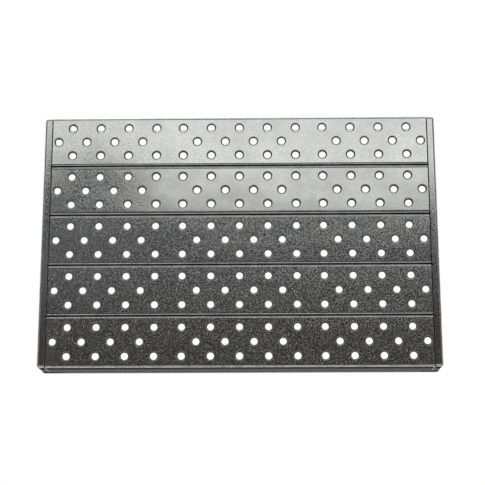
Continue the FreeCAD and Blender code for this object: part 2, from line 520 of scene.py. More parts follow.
def punched_face(graph, given, points, radius, height):
    """Flat face of the plank with a round opening at every point."""
    sides = {0: given["Length"], 1: graph.times(given["Half Flat"], 2.0)}
    edge = graph.add("GeometryNodeCurvePrimitiveQuadrilateral", sides, mode="RECTANGLE")
    round_edge = {"Resolution": given["Segments"], "Radius": radius}
    ring = graph.add("GeometryNodeCurvePrimitiveCircle", round_edge).outputs["Curve"]
    rings = graph.add("GeometryNodeRealizeInstances", {"Geometry": graph.copies(points, ring)})
    face = graph.add("GeometryNodeFillCurve", {"Curve": graph.merge(edge, rings)})
    return graph.move(face, graph.vector(0.0, 0.0, height))


def punched_channel_tree():
    """Folded channel: an extruded section whose flat face is punched with a lattice of dimples."""
    inputs = floats("Centre", "Length", "Half Flat", "Top", "Ceiling")
    inputs.update(floats("Mouth Radius", "Opening Radius", "Collar Radius"))
    inputs.update(floats("Hole Pitch", "Row Spacing", "Group Gap", "End Land"))
    inputs.update({"Middle Holes": "int", "Segments": "int"})
    tree, graph, given, made = modifier_tree("punched channel", inputs)
    section = given["Geometry"]
    marked = []
    for label in ("dimple", "tongue"):
        mark = graph.add("GeometryNodeInputNamedAttribute", {"Name": label}, data_type="BOOLEAN")
        inputs = {"Geometry": section, "Selection": mark}
        parts = graph.add("GeometryNodeSeparateGeometry", inputs, domain="POINT")
        marked.append(parts.outputs["Selection"])
        section = parts.outputs["Inverted"]
    dimple, tongues = marked

    inputs = {"Mesh": section, "Offset": graph.vector(1.0), "Offset Scale": given["Length"]}
    inputs["Individual"] = False
    extruded = graph.add("GeometryNodeExtrudeMesh", inputs, mode="FACES")
    channel = graph.merge(extruded, graph.flip(section))
    upward = graph.split(graph.add("GeometryNodeInputNormal"))[2]
    y, z = graph.split(graph.add("GeometryNodeInputPosition"))[1:]
    level = graph.over(graph.size(upward), LEVEL)
    high = graph.over(z, graph.minus(given["Ceiling"], TOUCH))
    inner = graph.under(graph.size(y), given["Mouth Radius"])
    inputs = {"Geometry": channel, "Selection": graph.times(level, high, inner)}
    channel = graph.add("GeometryNodeDeleteGeometry", inputs, domain="FACE")

    points = hole_lattice(graph, given)
    dimples = graph.copies(points, dimple)
    top = punched_face(graph, given, points, given["Opening Radius"], given["Top"])
    under = graph.flip(punched_face(graph, given, points, given["Collar Radius"], given["Ceiling"]))
    right = graph.move(tongues, graph.vector(graph.times(given["Length"], 0.5)))
    left = graph.flip(graph.add("GeometryNodeTransform", {"Geometry": right, "Scale": (-1.0, 1.0, 1.0)}))
    whole = graph.merge(channel, dimples, top, under, right, left)
    close_tree(graph, graph.move(whole, graph.vector(0.0, given["Centre"])), given, made)
    return tree


def rows_across_tree():
    """Copies the input in a row across the deck, centred on Y = 0."""
    inputs = {"Copies": "int", "Pitch": "float", "Place": "float"}
    tree, graph, given, made = modifier_tree("rows across", inputs)
    reach = graph.times(graph.minus(given["Copies"], 1.0), given["Pitch"])
    start = graph.vector(given["Place"], graph.times(reach, -0.5))
    step = graph.vector(0.0, given["Pitch"])
    inputs = {"Count": given["Copies"], "Start Location": start, "Offset": step}
    points = graph.add("GeometryNodeMeshLine", inputs)
    close_tree(graph, graph.copies(points, given["Geometry"]), given, made)
    return tree


def shaded_sheet_tree():
    """Shades a pressed sheet: round over its bends, sharp along its cut edges."""
    tree, graph, given, made = modifier_tree("shaded sheet", {})
    close_tree(graph, given["Geometry"], given, made)
    return tree


# ------------------------------------------------------------------ finishes


def zinc_group():
    """Mottling, fine grain and drawn lines of galvanised sheet, as colour, roughness and height."""
    inputs = floats("Grain", "Fleck", "Rough", "Speckle", "Depth")
    inputs.update({"Clean": "color", "Dull": "color"})
    outputs = {"Color": "color", **floats("Roughness", "Height")}
    tree, graph, given, made = new_tree("zinc", "ShaderNodeTree", inputs, outputs)
    place = graph.place()
    size = graph.math("DIVIDE", 1.0, given["Grain"])
    grain = graph.noise(place, Scale=size, Detail=2.0, Roughness=0.6, Distortion=0.7)
    cloud = graph.noise(place, Scale=28.0, Detail=4.0, Roughness=0.55)
    stretch = graph.add("ShaderNodeMapping", {"Vector": place, "Scale": (14.0, 900.0, 900.0)})
    drawn = graph.noise(stretch, Scale=1.0, Detail=2.0)
    spangle = graph.add("ShaderNodeTexVoronoi", {"Vector": place, "Scale": 150.0}, feature="SMOOTH_F1")
    facets = graph.add("ShaderNodeSeparateColor", {"Color": spangle.outputs["Color"]})
    patches = graph.remap(cloud, 0.3, 0.7)
    blend = graph.plus(graph.times(patches, 0.6), graph.times(facets, 0.4))
    mottled = graph.mix(blend, given["Clean"], given["Dull"])
    fleck = graph.scaled(graph.remap(grain, 0.36, 0.64, -1.0), given["Fleck"], 1.0)
    flecked = graph.add("ShaderNodeVectorMath", {0: mottled, "Scale": fleck}, operation="SCALE")
    graph.join(flecked, made["Color"])
    uneven = graph.scaled(patches, 0.03, given["Rough"])
    uneven = graph.scaled(graph.remap(grain, 0.4, 0.66), given["Speckle"], uneven)
    graph.join(graph.scaled(drawn, 0.02, uneven), made["Roughness"])
    height = graph.times(graph.minus(grain, 0.5), given["Depth"])
    lines = graph.times(drawn, 0.12, given["Depth"])
    graph.join(graph.plus(height, lines), made["Height"])
    return tree


def grime_shade_and_wear_group():
    """Masks of a folded piece: near-black grime and painted shade in its joints, on its cut ends and inside
    it, and wear along its bends.
    """
    inputs = floats("Inward", "Below", "Joint", "Cut End", "Inside")
    tree, graph, given, made = new_tree("grime, shade and wear", "ShaderNodeTree", inputs, floats("Dust", "Wear"))
    inward, below = given["Inward"], given["Below"]
    cloud = graph.noise(graph.place(), Scale=60.0, Detail=3.0, Roughness=0.6)

    def rise(value, start, end):
        return graph.remap(value, start, end, interpolation_type="SMOOTHSTEP")

    # Painted shade with some grime along the joints, just below the walking face.
    sunk = graph.times(rise(below, 0.0, 0.0016), given["Joint"], rise(below, 0.010, 0.004))
    inner = graph.times(rise(inward, 0.001, 0.0014), rise(below, 0.001, 0.0014))
    # Patchy painted shade and grime over the inner faces.
    grime_and_shade_patches = graph.math("MINIMUM", graph.times(rise(cloud, 0.15, 0.6), given["Inside"]), 1.0)
    # Painted shade on the cut ends, which darkens their reflections.
    ends = graph.times(rise(below, 0.0001, 0.0005), given["Cut End"])
    outside = graph.math("MAXIMUM", sunk, ends)
    graph.join(graph.math("MAXIMUM", outside, graph.times(inner, grime_and_shade_patches)), made["Dust"])
    bend = graph.times(rise(inward, 0.0032, 0.0012), rise(below, 0.003, 0.001))
    graph.join(graph.times(bend, rise(cloud, 0.42, 0.66)), made["Wear"])
    return tree


def lay_group():
    """How one rolled sheet lies: its tilt, its long waves and the roll of its edges, as height."""
    inputs = floats("Centre", "Half Width", "Tilt", "Waves", "Edge Front", "Edge Back", "Edge Roll")
    tree, graph, given, made = new_tree("sheet lay", "ShaderNodeTree", inputs, floats("Height"))
    place = graph.place()
    y = graph.minus(graph.split(place)[1], given["Centre"])
    stretch = graph.add("ShaderNodeMapping", {"Vector": place, "Scale": (7.0, 22.0, 1.0)})
    waves = graph.noise(stretch, Scale=1.0, Detail=1.5, Roughness=0.4)
    waves = graph.times(graph.minus(waves, 0.5), given["Waves"])
    total = graph.plus(graph.times(y, given["Tilt"]), waves)
    for side, label in ((-1.0, "Edge Front"), (1.0, "Edge Back")):
        reach = graph.minus(graph.times(y, side), given["Half Width"])
        rolled = graph.math("MAXIMUM", graph.plus(reach, given["Edge Roll"]), 0.0)
        total = graph.plus(total, graph.times(rolled, rolled, given[label]))
    graph.join(total, made["Height"])
    return tree


def new_material(name):
    """A material with its graph and its Principled BSDF."""
    material = bpy.data.materials.new(name)
    material.use_nodes = True
    graph = Graph(material.node_tree)
    return material, graph, material.node_tree.nodes["Principled BSDF"]


def use_group(graph, name, build, inputs):
    """Places a shared shader group with its own values, and returns its output sockets."""
    return graph.add("ShaderNodeGroup", inputs, node_tree=group(name, build)).outputs


def opaque(rgb):
    """Colour with an alpha of 1."""
    return (*rgb, 1.0)


# Height of the lowest bit of a piece, which the grime and painted shade inside it leave bare.
GRIME_AND_SHADE_FLOOR = 0.0005


def fold_masks(graph, folds):
    """Masks of grime with painted shade, and of wear, for a folded piece, from the places of its folds,
    joints and cut ends.
    """
    x, y, z = graph.split(graph.place())
    across, along = (y, x) if folds["Axis"] == "Y" else (x, y)
    off = graph.minus(across, folds["Centre"])
    behind = graph.over(off, 0.0)
    front = graph.times(graph.minus(1.0, behind), folds["Joint Front"])
    far_out = graph.size(x)
    ended = graph.times(graph.over(far_out, folds["End From"]), graph.under(far_out, folds["End To"]))
    covered = graph.times(graph.over(z, GRIME_AND_SHADE_FLOOR), graph.under(graph.size(along), folds["Reach"]))
    inputs = {
        "Inward": graph.minus(folds["Half"], graph.size(off)),
        "Below": graph.minus(DECK_TOP, z),
        "Joint": graph.scaled(behind, folds["Joint Back"], front),
        "Cut End": ended,
        "Inside": graph.times(covered, folds["Inside"]),
    }
    masks = use_group(graph, "grime, shade and wear", grime_shade_and_wear_group, inputs)
    return masks["Dust"], masks["Wear"]


def zinc_material(name, tones, grain, lay=None, folds=None):
    """Galvanised steel of two tones. The lay says how a sheet lies, and the folds where it takes grime and
    painted shade.
    """
    finish = settings("scaffold_finish")
    material, graph, shader = new_material(name)
    inputs = {"Grain": finish.grain, "Clean": opaque(tones[0]), "Dull": opaque(tones[1]), **grain}
    zinc = use_group(graph, "zinc", zinc_group, inputs)
    height, colour, roughness = (zinc[label] for label in ("Height", "Color", "Roughness"))
    metallic = 1.0
    if lay:
        height = graph.plus(height, use_group(graph, "sheet lay", lay_group, lay)["Height"])
    if folds:
        grime_and_shade, wear = fold_masks(graph, folds)
        colour = graph.mix(wear, colour, opaque(finish.worn))
        # Painted shade and grime: near-black and less metallic over the joints, the cut ends and the inner
        # faces.
        colour = graph.mix(grime_and_shade, colour, opaque(finish.grime_and_shade_tone))
        roughness = graph.scaled(grime_and_shade, 0.4, roughness)
        metallic = graph.scaled(grime_and_shade, -0.6, 1.0)
    bump = graph.add("ShaderNodeBump", {"Strength": 1.0, "Distance": 1.0, "Height": height})
    graph.join(colour, shader.inputs["Base Color"])
    graph.join(metallic, shader.inputs["Metallic"])
    graph.join(roughness, shader.inputs["Roughness"])
    graph.join(bump, shader.inputs["Normal"])
    return material


# -------------------------------------------------------------------- pieces


def add_box(bm, low, high):
    """Adds a closed box between two corners to a bmesh and returns its points."""
    made = bmesh.ops.create_cube(bm, size=1.0)["verts"]
    middle_point, size = (low + high) / 2, high - low
    for vertex in made:
        vertex.co = middle_point + Vector(a * b for a, b in zip(vertex.co, size))
    return made


# Strip of the flat face that stays with the fold beside it.
FLAT_LAND = 0.0004


def plank_section(sizes, feet):
    """Closed outline of a folded plank, as (y, z) points, from the heights of its front and back feet."""
    side, top = PLANK.y / 2, DECK_TOP
    skin = [(-side, feet[0]), (-side, top), (side, top), (side, feet[1])]
    outline = folded_outline(skin, sizes.plank_sheet, sizes.plank_bend, 7)
    with_lands = []
    for here, following in zip(outline, outline[1:] + outline[:1]):
        with_lands.append(here)
        if abs(following.y - here.y) < WELD and (following - here).length > side:
            land = (following - here).normalized() * FLAT_LAND
            with_lands += [here + land, following - land]
    return with_lands


def face_length(sizes):
    """Length of the walking face of a plank."""
    return 2 * (CAP_LOW.x - sizes.plank_end_gap)


# Flat ring that a dimple carries around its mouth and its collar, and the rounding of its edges.
RIM = 0.0006
MOUTH_ROUNDS = (0.0005, 0.0008)
COLLAR_ROUNDS = (0.0001, 0.0006)


def dimple_profile(sizes, holes):
    """(radius, height) points from the walking face, down through the mouth, and up the collar."""
    bore, ceiling = holes.bore / 2, DECK_TOP - sizes.plank_sheet
    mouth, bottom = bore + holes.flare, ceiling - holes.drop
    foot = bore + holes.collar_wall
    collar = foot + holes.collar_foot
    corners = [
        (mouth + RIM, DECK_TOP),
        (mouth, DECK_TOP),
        (bore, DECK_TOP - holes.depth),
        (bore, bottom),
        (foot, bottom),
        (collar, ceiling),
        (collar + RIM, ceiling),
    ]
    upper = rounded(corners[:4], MOUTH_ROUNDS, 2)
    lower = rounded(corners[3:], COLLAR_ROUNDS, 1)
    return upper + lower[1:]


def plank_base(sizes, holes, feet):
    """Mesh that holds what the plank's tree repeats: the section at one end, one dimple, and the tongues."""
    bm = bmesh.new()
    dimple, tongue = bm.verts.layers.bool.new("dimple"), bm.verts.layers.bool.new("tongue")
    for vertex in add_turned(bm, dimple_profile(sizes, holes), holes.segments):
        vertex[dimple] = True
    bm.normal_update()
    if min(bm.faces, key=lambda face: face.calc_center_median().z).normal.z > 0:
        bmesh.ops.reverse_faces(bm, faces=bm.faces[:])
    half = face_length(sizes) / 2
    section = bm.faces.new([bm.verts.new((-half, y, z)) for y, z in plank_section(sizes, feet)])
    section.normal_update()
    if section.normal.x < 0:
        section.normal_flip()
    inner = PLANK.y / 2 - sizes.plank_sheet
    for side, foot in zip((-1, 1), feet):
        if foot > SKIRT_FOOT:
            edges = sorted((side * inner, side * PLANK.y / 2))
            low = Vector((0, edges[0], foot + sizes.tongue_bottom))
            high = Vector((TONGUE_END - half, edges[1], DECK_TOP - sizes.tongue_top))
            for vertex in add_box(bm, low, high):
                vertex[tongue] = True
    return mesh_from(bm, "plank_base")


# One value for each plank, from the front of the deck to the back.
FLECKS = (0.42, 0.34, 0.28, 0.16, 0.22)
SPECKLES = (0.2, 0.2, 0.17, 0.13, 0.09)
SHEET_LAYS = {
    "Tilt": (0.0, 0.0, 0.006, -0.010, -0.023),
    "Waves": (0.0003, 0.0003, 0.0003, 0.0003, 0.0002),
    "Edge Front": (0.0, 0.0, 0.0, -12.0, 0.0),
    "Edge Back": (0.0, 0.0, 0.0, 14.0, 0.0),
    "Edge Roll": (0.0, 0.0, 0.0, 0.0022, 0.0),
}
CAP_TILTS = {"left": -0.006, "right": 0.002}
OUTER_DEPTH = 2e-5


class SCAFFOLD_OT_planks(bpy.types.Operator):
    """Fold the perforated planks"""

    bl_idname = "scaffold.planks"
    bl_label = "Planks"

    def execute(self, context):
        sizes, holes = settings("scaffold_sheets"), settings("scaffold_holes")
        finish = settings("scaffold_finish")
        tree = punched_channel_tree()
        bend = sizes.plank_bend + sizes.plank_sheet
        profile = dimple_profile(sizes, holes)
        face = face_length(sizes)
        last = len(PLANKS) - 1
        for number, node in enumerate(PLANKS):
            centre = middle(node).y
            lay = {label: values[number] for label, values in SHEET_LAYS.items()}
            lay.update({"Centre": centre, "Half Width": PLANK.y / 2 - bend})
            # Where the painted shade and grime fall: the joints, the plank ends and, on the middle planks,
            # the inner faces.
            folds = {
                "Axis": "Y",
                "Centre": centre,
                "Half": PLANK.y / 2,
                "Inside": 0.0 if number in (0, last) else 0.4,
                "Reach": CAP_HIGH.x,
                "End From": face / 2 - TOUCH,
                "End To": CAP_LOW.x,
                "Joint Front": 0.0 if number == 0 else 1.0,
                "Joint Back": 0.0 if number == last else 1.0,
            }
            grain = {"Fleck": FLECKS[number], "Rough": 0.045, "Speckle": SPECKLES[number]}
            grain["Depth"] = OUTER_DEPTH
            tones = finish.zinc, finish.zinc_dull
            steel = zinc_material(f"plank zinc {number + 1}", tones, grain, lay, folds)
            feet = [SKIRT_FOOT if number == end else PLANK_FOOT for end in (0, last)]
            source = object_from(plank_base(sizes, holes, feet), "plank source")
            values = {
                "Centre": centre,
                "Length": face,
                "Half Flat": PLANK.y / 2 - bend - FLAT_LAND,
                "Top": DECK_TOP,
                "Ceiling": DECK_TOP - sizes.plank_sheet,
                "Mouth Radius": holes.bore / 2 + holes.flare,
                "Opening Radius": profile[0][0],
                "Collar Radius": profile[-1][0],
                "Hole Pitch": holes.pitch,
                "Row Spacing": holes.row_spacing,
                "Group Gap": holes.group_gap,
                "End Land": holes.end_land,
                "Middle Holes": holes.middle_holes,
                "Segments": holes.segments,
                "Material": steel,
            }
            run_tree(source, tree, values)
            keep_flats_flat(source)
            finish_piece(baked(source, f"plank_{number + 1}"), "plank_sheet", node)
        return {"FINISHED"}


def prism(outline, low, high):
    """Bmesh of an (x, z) outline pushed along Y between two places."""
    bm = bmesh.new()
    add_loft(bm, [[(x, place, z) for x, z in outline] for place in (low, high)])
    return bm


def open_box_outline(width, low, high, sheet, bend):
    """Closed outline of two legs and the web above them, as (x, z) points."""
    half = width / 2
    skin = [(-half, low), (-half, high), (half, high), (half, low)]
    return folded_outline(skin, sheet, bend, 5)


def inner_grain(rough, depth):
    """Grain of the steel below the deck, which has faint flecks: its roughness and its depth."""
    return {"Fleck": 0.15, "Rough": rough, "Speckle": 0.1, "Depth": depth}


def repeated(bm, name, copies, place, material):
    """Object of copies of a bmesh, in a row across the deck, one plank apart."""
    source = object_from(mesh_from(bm, name), "source")
    values = {"Copies": copies, "Pitch": PLANK_PITCH, "Place": place, "Material": material}
    run_tree(source, group("rows across", rows_across_tree), values)
    keep_flats_flat(source)
    return baked(source, name)


class SCAFFOLD_OT_ribs(bpy.types.Operator):
    """Stand the ribs inside the planks"""

    bl_idname = "scaffold.ribs"
    bl_label = "Ribs"

    def execute(self, context):
        sizes, finish = settings("scaffold_sheets"), settings("scaffold_finish")
        steel = zinc_material("rib zinc", (finish.zinc_dull, finish.zinc_dull), inner_grain(0.34, 6e-6))
        outline = open_box_outline(RIB.x, PLANK_FOOT, PLANK_FOOT + RIB.z, sizes.rib_sheet, sizes.rib_bend)
        for side, sign in ENDS.items():
            rib = prism(outline, -RIB.y / 2, RIB.y / 2)
            piece = repeated(rib, f"ribs_{side}", len(PLANKS), sign * RIB_PLACE, steel)
            nodes = [f"stiffening_rib_{side}_{i + 1}" for i in range(len(PLANKS))]
            finish_piece(piece, "inner_steel", *nodes)
        return {"FINISHED"}


class SCAFFOLD_OT_bearers(bpy.types.Operator):
    """Lay the cross bearers under the planks"""

    bl_idname = "scaffold.bearers"
    bl_label = "Bearers"

    def execute(self, context):
        sizes, finish = settings("scaffold_sheets"), settings("scaffold_finish")
        steel = zinc_material("bearer zinc", (finish.zinc, finish.zinc_dull), inner_grain(0.3, 5e-6))
        low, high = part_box("cross_bearer_right")
        outline = open_box_outline(BEARER.x, low.z, high.z, sizes.bearer_sheet, sizes.bearer_bend)
        for side, sign in ENDS.items():
            piece = repeated(prism(outline, low.y, high.y), f"bearer_{side}", 1, sign * RIB_PLACE, steel)
            finish_piece(piece, "inner_steel", f"cross_bearer_{side}")
        return {"FINISHED"}


# Section of a fillet bead along its two legs, its fullness at both ends, and its ripples.
BEAD_SECTION = ((0.0, 0.0), (1.0, 0.0), (0.68, 0.42), (0.42, 0.68), (0.0, 1.0))
BEAD_END = 0.72
BEAD_DIP = 0.1


def add_bead(bm, corner, first, second, along, ripple):
    """Adds a rippled fillet bead to a bmesh: two legs from its corner, and its run."""
    corner, first, second, along = Vector(corner), Vector(first), Vector(second), Vector(along)
    steps = max(4, 2 * round(along.length / ripple))
    rings = []
    for i in range(steps + 1):
        fullness = BEAD_END if i in (0, steps) else 1.0 - BEAD_DIP * (i % 2)
        place = corner + along * i / steps
        rings.append([place + first * a * fullness + second * b * fullness for a, b in BEAD_SECTION])
    add_loft(bm, rings)


def joined(pieces, name):
    """One object of several mesh objects that share a material."""
    bm = bmesh.new()
    material = pieces[0].data.materials[0]
    for piece in pieces:
        bm.from_mesh(piece.data)
        bpy.data.objects.remove(piece)
    whole = object_from(mesh_from(bm, name), name)
    paint(whole, material)
    return whole


def bearer_beads(side, sign, sizes, welds, steel):
    """Beads of one bearer: along the flanges at each joint, at each rib, and at both skirts."""
    leg, run, ripple = welds.leg, welds.flange_bead, welds.ripple
    across, up = Vector((0, leg, 0)), Vector((0, 0, leg))
    place = sign * RIB_PLACE
    flanges = bmesh.new()
    reach = (PLANK_PITCH - PLANK.y) / 2 + sizes.plank_sheet
    for way in (-1, 1):
        add_bead(flanges, (-run / 2, way * reach, PLANK_FOOT), across * way, up, (run, 0, 0), ripple)
    ribs = bmesh.new()
    for way in (-1, 1):
        corner = (way * RIB.x / 2, -welds.rib_bead / 2, PLANK_FOOT)
        add_bead(ribs, corner, (way * leg, 0, 0), up, (0, welds.rib_bead, 0), ripple)
    ends = bmesh.new()
    wall = DECK_SIDE - sizes.plank_sheet
    gap = wall - BEARER.y / 2
    rise = (0, 0, PLANK_FOOT - 2 * welds.end_inset)
    for way_x in (-1, 1):
        for way_y in (-1, 1):
            corner = (way_x * BEARER.x / 2, way_y * wall, welds.end_inset)
            add_bead(ends, corner, (way_x * leg, 0, 0), (0, -way_y * (leg + gap), 0), rise, ripple)
    pieces = [
        repeated(flanges, "flange beads", len(PLANKS) - 1, place, steel),
        repeated(ribs, "rib beads", len(PLANKS), place, steel),
        repeated(ends, "end beads", 1, place, steel),
    ]
    return joined(pieces, f"bearer_beads_{side}")


# How far the beads stop short of an edge, how deep a seam lies below the side, and its ripples.
BEAD_SHORT = 0.001
SEAM_SUNK = 0.0001
SEAM_DIP = 0.00025


def cap_beads(side, sign, sizes, welds, steel):
    """Beads of one cap: behind the tongues at each joint, and the butt seams to both skirts."""
    leg, ripple = welds.leg, welds.ripple
    web = CAP_HIGH.x - sizes.cap_sheet
    gap = web - TONGUE_END
    low = PLANK_FOOT + sizes.tongue_bottom + BEAD_SHORT
    high = DECK_TOP - sizes.tongue_top - BEAD_SHORT
    tongues = bmesh.new()
    reach = (PLANK_PITCH - PLANK.y) / 2 + sizes.plank_sheet
    rise = (0, 0, high - low)
    for way in (-1, 1):
        corner = (sign * web, way * reach, low)
        add_bead(tongues, corner, (-sign * (leg + gap), 0, 0), (0, way * leg, 0), rise, ripple)
    seams = bmesh.new()
    start, end = sign * (CAP_LOW.x - sizes.plank_end_gap), sign * CAP_LOW.x
    low = welds.end_inset + BEAD_SHORT
    steps = 2 * round((high - low) / ripple)
    for way in (-1, 1):
        inner, outer = way * (DECK_SIDE - sizes.plank_sheet), way * (DECK_SIDE - SEAM_SUNK)
        rings = []
        for i in range(steps + 1):
            z = low + (high - low) * i / steps
            crown = outer - way * (SEAM_DIP if i % 2 else 0.0)
            shape = ((start, inner), (end, inner), (end, crown), ((start + end) / 2, outer), (start, crown))
            rings.append([(x, y, z) for x, y in shape])
        add_loft(seams, rings)
    pieces = [
        repeated(tongues, "tongue beads", len(PLANKS) - 1, 0.0, steel),
        repeated(seams, "corner seams", 1, 0.0, steel),
    ]
    return joined(pieces, f"cap_beads_{side}")


class SCAFFOLD_OT_welds(bpy.types.Operator):
    """Run the weld beads on bearers and caps"""

    bl_idname = "scaffold.welds"
    bl_label = "Welds"

    def execute(self, context):
        sizes, welds = settings("scaffold_sheets"), settings("scaffold_welds")
        finish = settings("scaffold_finish")
        steel = zinc_material("weld zinc", (finish.weld, finish.weld), inner_grain(0.36, 8e-6))
        for side, sign in ENDS.items():
            piece = bearer_beads(side, sign, sizes, welds, steel)
            finish_piece(piece, "weld", f"bearer_welds_{side}")
            piece = cap_beads(side, sign, sizes, welds, steel)
            finish_piece(piece, "weld", f"cap_welds_{side}")
        return {"FINISHED"}


def soften(piece, width, segments, limit):
    """Adds a Bevel on the edges that turn by more than the limit."""
    bevel = piece.modifiers.new("soften", "BEVEL")
    bevel.width = width
    bevel.segments = segments
    bevel.limit_method = "ANGLE"
    bevel.angle_limit = limit
    bevel.use_clamp_overlap = True


def paint(piece, material):
    """Gives the whole piece one material."""
    piece.data.materials.clear()
    piece.data.materials.append(material)


# Gap between a cap's folded edge and the start of its foot.
CAP_CLEARANCE = 0.0002


def cap_shell(sizes):
    """Bmesh skin of the right-hand cap: web, ledge, side returns and the foot below."""
    outer, ledge, foot = CAP_HIGH.x, CAP_LOW.x, CAP_HIGH.x - sizes.cap_foot
    side, top = CAP_HIGH.y, CAP_HIGH.z
    step = side - sizes.cap_sheet - sizes.cap_bend - CAP_CLEARANCE
    bm = bmesh.new()

    def corner(x, y, z):
        return bm.verts.new((x, y, z))

    low = {y: corner(outer, y, 0) for y in (-side, side)}
    high = {y: corner(outer, y, top) for y in (-side, side)}
    low_in = {y: corner(ledge, y, 0) for y in (-side, side)}
    high_in = {y: corner(ledge, y, top) for y in (-side, side)}
    bm.faces.new([low[-side], low[side], high[side], high[-side]])
    bm.faces.new([high[-side], high[side], high_in[side], high_in[-side]])
    bm.faces.new([low[-side], high[-side], high_in[-side], low_in[-side]])
    bm.faces.new([low[side], low_in[side], high_in[side], high[side]])
    path = [(ledge, step), (foot, step), (foot, -step), (ledge, -step)]
    relief = [corner(x, y, 0) for x, y in path]
    bm.faces.new([low[side], low_in[side], *relief, low_in[-side], low[-side]])
    bmesh.ops.recalc_face_normals(bm, faces=bm.faces[:])
    web = max(bm.faces, key=lambda f: f.calc_center_median().x)
    if web.normal.x < 0:
        bmesh.ops.reverse_faces(bm, faces=bm.faces[:])
    return bm


class SCAFFOLD_OT_caps(bpy.types.Operator):
    """Press the end caps"""

    bl_idname = "scaffold.caps"
    bl_label = "End caps"

    def execute(self, context):
        sizes, finish = settings("scaffold_sheets"), settings("scaffold_finish")
        for side, sign in ENDS.items():
            lay = {**dict.fromkeys(SHEET_LAYS, 0.0), "Tilt": CAP_TILTS[side]}
            # The cap's inner faces and its cut edge take painted shade and grime, nearly black.
            folds = {
                "Axis": "X",
                "Centre": 0.0,
                "Half": CAP_HIGH.x,
                "Inside": 4.0,
                "Reach": CAP_HIGH.y - 0.001,
                "End From": 0.0,
                "End To": CAP_LOW.x + TOUCH,
                "Joint Front": 0.0,
                "Joint Back": 0.0,
            }
            grain = {"Fleck": 0.3, "Rough": 0.034, "Speckle": 0.12, "Depth": OUTER_DEPTH}
            steel = zinc_material(f"cap zinc {side}", (finish.zinc, finish.zinc_dull), grain, lay, folds)
            bm = cap_shell(sizes)
            for vertex in bm.verts:
                vertex.co.x *= sign
                vertex.co.y *= sign
            source = object_from(mesh_from(bm, "cap"), "cap source")
            soften(source, sizes.cap_sheet + sizes.cap_bend, 6, math.radians(60))
            thick = source.modifiers.new("sheet", "SOLIDIFY")
            thick.thickness = sizes.cap_sheet
            thick.offset = -1.0
            thick.use_even_offset = True
            run_tree(source, group("shaded sheet", shaded_sheet_tree), {"Material": steel})
            keep_flats_flat(source)
            finish_piece(baked(source, f"cap_{side}"), "end_cap", f"end_cap_{side}")
        return {"FINISHED"}


# --------------------------------------------------------------------- stage


WHITE = (1.0, 1.0, 1.0)


def seen_or_lit(graph, seen, lit):
    """Mixes what the camera sees of the stage with what lights the object."""
    path = graph.add("ShaderNodeLightPath")
    return graph.add("ShaderNodeMixShader", {0: path.outputs["Is Camera Ray"], 1: lit, 2: seen})


def colour_ramp(graph, value, stops):
    """Colour ramp node with its stops as (place, colour)."""
    node = graph.add("ShaderNodeValToRGB", {"Fac": value})
    elements = node.color_ramp.elements
    while len(elements) > 1:
        elements.remove(elements[-1])
    elements[0].position, elements[0].color = stops[0][0], opaque(stops[0][1])
    for position, tone in stops[1:]:
        elements.new(position).color = opaque(tone)
    return node


def greys(stops):
    """The same stops, with each number as a grey colour."""
    return [(place, (tone,) * 3) for place, tone in stops]


# Brightness of the floor at distances from the deck's outline.
CORNER_ROUND = 0.004
FLOOR_REACH = 0.4
FLOOR_SIZE = 6.0
FLOOR_GAP = 0.0002
FLOOR_BANDS = (
    (0.0, 0.04),
    (0.001, 0.05),
    (0.0018, 0.2),
    (0.0038, 0.2),
    (0.0045, 0.004),
    (0.017, 0.01),
    (0.03, 0.7),
    (0.05, 1.2),
    (0.12, 1.1),
    (0.2, 0.6),
    (0.4, 0.5),
)
# The glow below the deck fades out between these two distances from its middle.
GLOW_FADE = (0.219, 0.229)
# The contact shadow runs from just under the deck's edge to this far beyond it.
CONTACT = (-0.002, 0.0004, 0.0014)


def floor_material(stage):
    """Floor that the camera sees as white, with its own glow below and around the deck for the steel."""
    material, graph, shader = new_material("pale floor")
    x, y, _ = graph.split(graph.place())
    beyond = []
    for place, edge in ((x, CAP_HIGH.x), (y, CAP_HIGH.y)):
        out = graph.minus(graph.size(place), edge - CORNER_ROUND)
        beyond.append(graph.math("POWER", graph.math("MAXIMUM", out, 0.0), 2.0))
    far = graph.minus(graph.math("SQRT", graph.plus(*beyond)), CORNER_ROUND)
    under = graph.remap(graph.size(x), *GLOW_FADE, stage.glow, 0.0, interpolation_type="SMOOTHSTEP")
    under = graph.times(graph.under(far, TOUCH), under)
    stops = greys((place / FLOOR_REACH, tone) for place, tone in FLOOR_BANDS)
    around = colour_ramp(graph, graph.math("DIVIDE", far, FLOOR_REACH), stops)
    around = graph.times(graph.over(far, TOUCH), around)
    glow = graph.add("ShaderNodeEmission", {"Strength": graph.plus(under, around)})
    inner, start, end = CONTACT
    contact = graph.math("MAXIMUM", graph.remap(far, start, end), graph.under(far, inner))
    seen = graph.add("ShaderNodeEmission", {"Color": opaque(WHITE), "Strength": contact})
    path = graph.add("ShaderNodeLightPath")
    back = graph.add("ShaderNodeNewGeometry").outputs["Backfacing"]
    below = graph.times(back, path.outputs["Is Camera Ray"])
    clear = graph.add("ShaderNodeBsdfTransparent")
    either = graph.add("ShaderNodeMixShader", {0: below, 1: seen_or_lit(graph, seen, glow), 2: clear})
    graph.join(either, material.node_tree.nodes["Material Output"].inputs["Surface"])
    material.node_tree.nodes.remove(shader)
    return material


